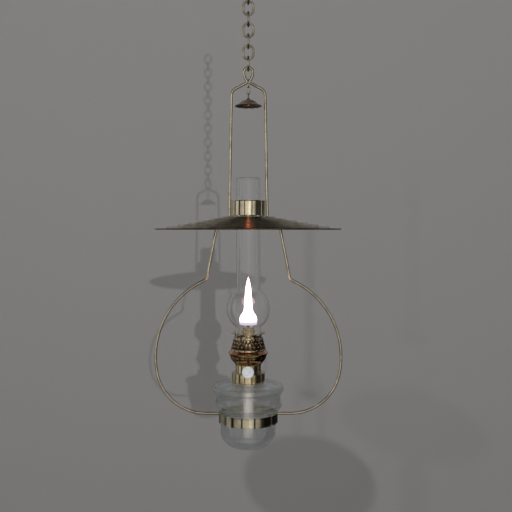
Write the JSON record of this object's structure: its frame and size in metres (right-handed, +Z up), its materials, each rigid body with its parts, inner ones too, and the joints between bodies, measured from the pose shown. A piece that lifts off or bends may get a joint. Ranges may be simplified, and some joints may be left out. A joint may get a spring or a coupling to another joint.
{
  "type": "hanging oil lamp",
  "caption": "Brass hanging oil lamp on a link chain: bent wire frame, shallow stepped shade, ball chimney over a pierced round-wick burner, and a clear glass font in a ring.",
  "frame": {"origin": "inside top of the uppermost chain link, where a ceiling hook carries the lamp", "axes": "+Z up along the chain; +X to the right and -Y towards a viewer who faces the wick knob"},
  "size_m": [0.305, 0.2996, 0.9385],
  "materials": {
    "chain brass": "satin",
    "frame brass": "polished",
    "polished brass": "polished",
    "dark brass": "tarnished",
    "bell bronze": "tarnished",
    "shade brass": "polished",
    "burner brass": "polished",
    "white knob": "glazed",
    "chimney glass": "clear",
    "font glass": "clear",
    "wick cotton": "woven",
    "cement": "plaster"
  },
  "bodies": {
    "chain_link_01": {"chain_link_01": "chain brass"},
    "chain_link_02": {"chain_link_02": "chain brass"},
    "chain_link_03": {"chain_link_03": "chain brass"},
    "chain_link_04": {"chain_link_04": "chain brass"},
    "chain_link_05": {"chain_link_05": "chain brass"},
    "chain_link_06": {"chain_link_06": "chain brass"},
    "chain_link_07": {"chain_link_07": "chain brass"},
    "chain_link_08": {"chain_link_08": "chain brass"},
    "chain_link_09": {"chain_link_09": "chain brass"},
    "chain_link_10": {"chain_link_10": "chain brass"},
    "chain_link_11": {"chain_link_11": "chain brass"},
    "chain_link_12": {"chain_link_12": "chain brass"},
    "chain_link_13": {"chain_link_13": "chain brass"},
    "chain_link_14": {"chain_link_14": "chain brass"},
    "chain_link_15": {"chain_link_15": "chain brass"},
    "chain_link_16": {"chain_link_16": "chain brass"},
    "chain_link_17": {"chain_link_17": "chain brass"},
    "chain_link_18": {"chain_link_18": "chain brass"},
    "frame": {"frame_yoke": "frame brass", "frame_arm_left": "frame brass", "frame_arm_right": "frame brass", "font_ring": "polished brass"},
    "bell_ring_upper": {"bell_ring_upper": "dark brass"},
    "bell_ring_lower": {"bell_ring_lower": "dark brass"},
    "smoke_bell": {"smoke_bell": "bell bronze", "bell_knob": "dark brass"},
    "shade": {"shade": "shade brass", "chimney_collar": "polished brass"},
    "font": {"font": "font glass", "collar_cement": "cement", "font_collar": "burner brass"},
    "burner": {"burner_base": "burner brass", "burner_bowl": "burner brass", "air_basket": "burner brass", "chimney_gallery": "burner brass", "wick_tube": "burner brass", "draught_tube": "dark brass", "flame_spreader": "dark brass", "shaft_bush": "burner brass"},
    "chimney": {"chimney": "chimney glass"},
    "knob": {"wick_knob": "white knob", "wick_shaft": "burner brass", "spur_wheels": "dark brass"},
    "wick": {"wick": "wick cotton"}
  },
  "joints": [
    {"name": "swing_link_02", "type": "hinge", "parent": "chain_link_01", "child": "chain_link_02", "pos_m": [0, 0, -0.0201], "axis": [1, 0, 0], "range_deg": [-90, 90]},
    {"name": "swing_link_03", "type": "hinge", "parent": "chain_link_02", "child": "chain_link_03", "pos_m": [0, 0, -0.0381], "axis": [0, 1, 0], "range_deg": [-90, 90]},
    {"name": "swing_link_04", "type": "hinge", "parent": "chain_link_03", "child": "chain_link_04", "pos_m": [0, 0, -0.0561], "axis": [-1, 0, 0], "range_deg": [-90, 90]},
    {"name": "swing_link_05", "type": "hinge", "parent": "chain_link_04", "child": "chain_link_05", "pos_m": [0, 0, -0.0741], "axis": [0, -1, 0], "range_deg": [-90, 90]},
    {"name": "swing_link_06", "type": "hinge", "parent": "chain_link_05", "child": "chain_link_06", "pos_m": [0, 0, -0.0921], "axis": [1, 0, 0], "range_deg": [-90, 90]},
    {"name": "swing_link_07", "type": "hinge", "parent": "chain_link_06", "child": "chain_link_07", "pos_m": [0, 0, -0.1101], "axis": [0, 1, 0], "range_deg": [-90, 90]},
    {"name": "swing_link_08", "type": "hinge", "parent": "chain_link_07", "child": "chain_link_08", "pos_m": [0, 0, -0.1281], "axis": [-1, 0, 0], "range_deg": [-90, 90]},
    {"name": "swing_link_09", "type": "hinge", "parent": "chain_link_08", "child": "chain_link_09", "pos_m": [0, 0, -0.1461], "axis": [0, -1, 0], "range_deg": [-90, 90]},
    {"name": "swing_link_10", "type": "hinge", "parent": "chain_link_09", "child": "chain_link_10", "pos_m": [0, 0, -0.1641], "axis": [1, 0, 0], "range_deg": [-90, 90]},
    {"name": "swing_link_11", "type": "hinge", "parent": "chain_link_10", "child": "chain_link_11", "pos_m": [0, 0, -0.1821], "axis": [0, 1, 0], "range_deg": [-90, 90]},
    {"name": "swing_link_12", "type": "hinge", "parent": "chain_link_11", "child": "chain_link_12", "pos_m": [0, 0, -0.2001], "axis": [-1, 0, 0], "range_deg": [-90, 90]},
    {"name": "swing_link_13", "type": "hinge", "parent": "chain_link_12", "child": "chain_link_13", "pos_m": [0, 0, -0.2181], "axis": [0, -1, 0], "range_deg": [-90, 90]},
    {"name": "swing_link_14", "type": "hinge", "parent": "chain_link_13", "child": "chain_link_14", "pos_m": [0, 0, -0.2361], "axis": [1, 0, 0], "range_deg": [-90, 90]},
    {"name": "swing_link_15", "type": "hinge", "parent": "chain_link_14", "child": "chain_link_15", "pos_m": [0, 0, -0.2541], "axis": [0, 1, 0], "range_deg": [-90, 90]},
    {"name": "swing_link_16", "type": "hinge", "parent": "chain_link_15", "child": "chain_link_16", "pos_m": [0, 0, -0.2721], "axis": [-1, 0, 0], "range_deg": [-90, 90]},
    {"name": "swing_link_17", "type": "hinge", "parent": "chain_link_16", "child": "chain_link_17", "pos_m": [0, 0, -0.2901], "axis": [0, -1, 0], "range_deg": [-90, 90]},
    {"name": "swing_link_18", "type": "hinge", "parent": "chain_link_17", "child": "chain_link_18", "pos_m": [0, 0, -0.3081], "axis": [1, 0, 0], "range_deg": [-90, 90]},
    {"name": "frame_swing", "type": "hinge", "parent": "chain_link_18", "child": "frame", "pos_m": [0, 0, -0.3261], "axis": [0, 1, 0], "range_deg": [-90, 90]},
    {"name": "bell_a_upper_ring_swing", "type": "hinge", "parent": "frame", "child": "bell_ring_upper", "pos_m": [0, 0, -0.344], "axis": [1, 0, 0], "range_deg": [-25, 25]},
    {"name": "bell_b_lower_ring_swing", "type": "hinge", "parent": "bell_ring_upper", "child": "bell_ring_lower", "pos_m": [0, 0, -0.35462], "axis": [0, 1, 0], "range_deg": [-5, 5]},
    {"name": "bell_c_swing", "type": "hinge", "parent": "bell_ring_lower", "child": "smoke_bell", "pos_m": [0, 0, -0.36492], "axis": [1, 0, 0], "range_deg": [-40, 40]},
    {"name": "shade_lift", "type": "slide", "parent": "frame", "child": "shade", "axis": [0, 0, 1], "range_m": [0, 0.015]},
    {"name": "font_lift", "type": "slide", "parent": "frame", "child": "font", "axis": [0, 0, 1], "range_m": [0, 0.06]},
    {"name": "burner_lift", "type": "slide", "parent": "font", "child": "burner", "axis": [0, 0, 1], "range_m": [0, 0.01]},
    {"name": "chimney_lift", "type": "slide", "parent": "burner", "child": "chimney", "axis": [0, 0, 1], "range_m": [0, 0.03]},
    {"name": "knob_turn", "type": "hinge", "parent": "burner", "child": "knob", "pos_m": [0, 0, -0.80671], "axis": [0, 1, 0], "range_deg": [-85, 37]},
    {"name": "wick_raise", "type": "slide", "parent": "burner", "child": "wick", "axis": [0, 0, 1], "range_m": [-0.009, 0.005]}
  ],
  "couplings": [
    {"joint": "wick_raise", "follows": "knob_turn", "m_per_rad": 0.0054}
  ]
}
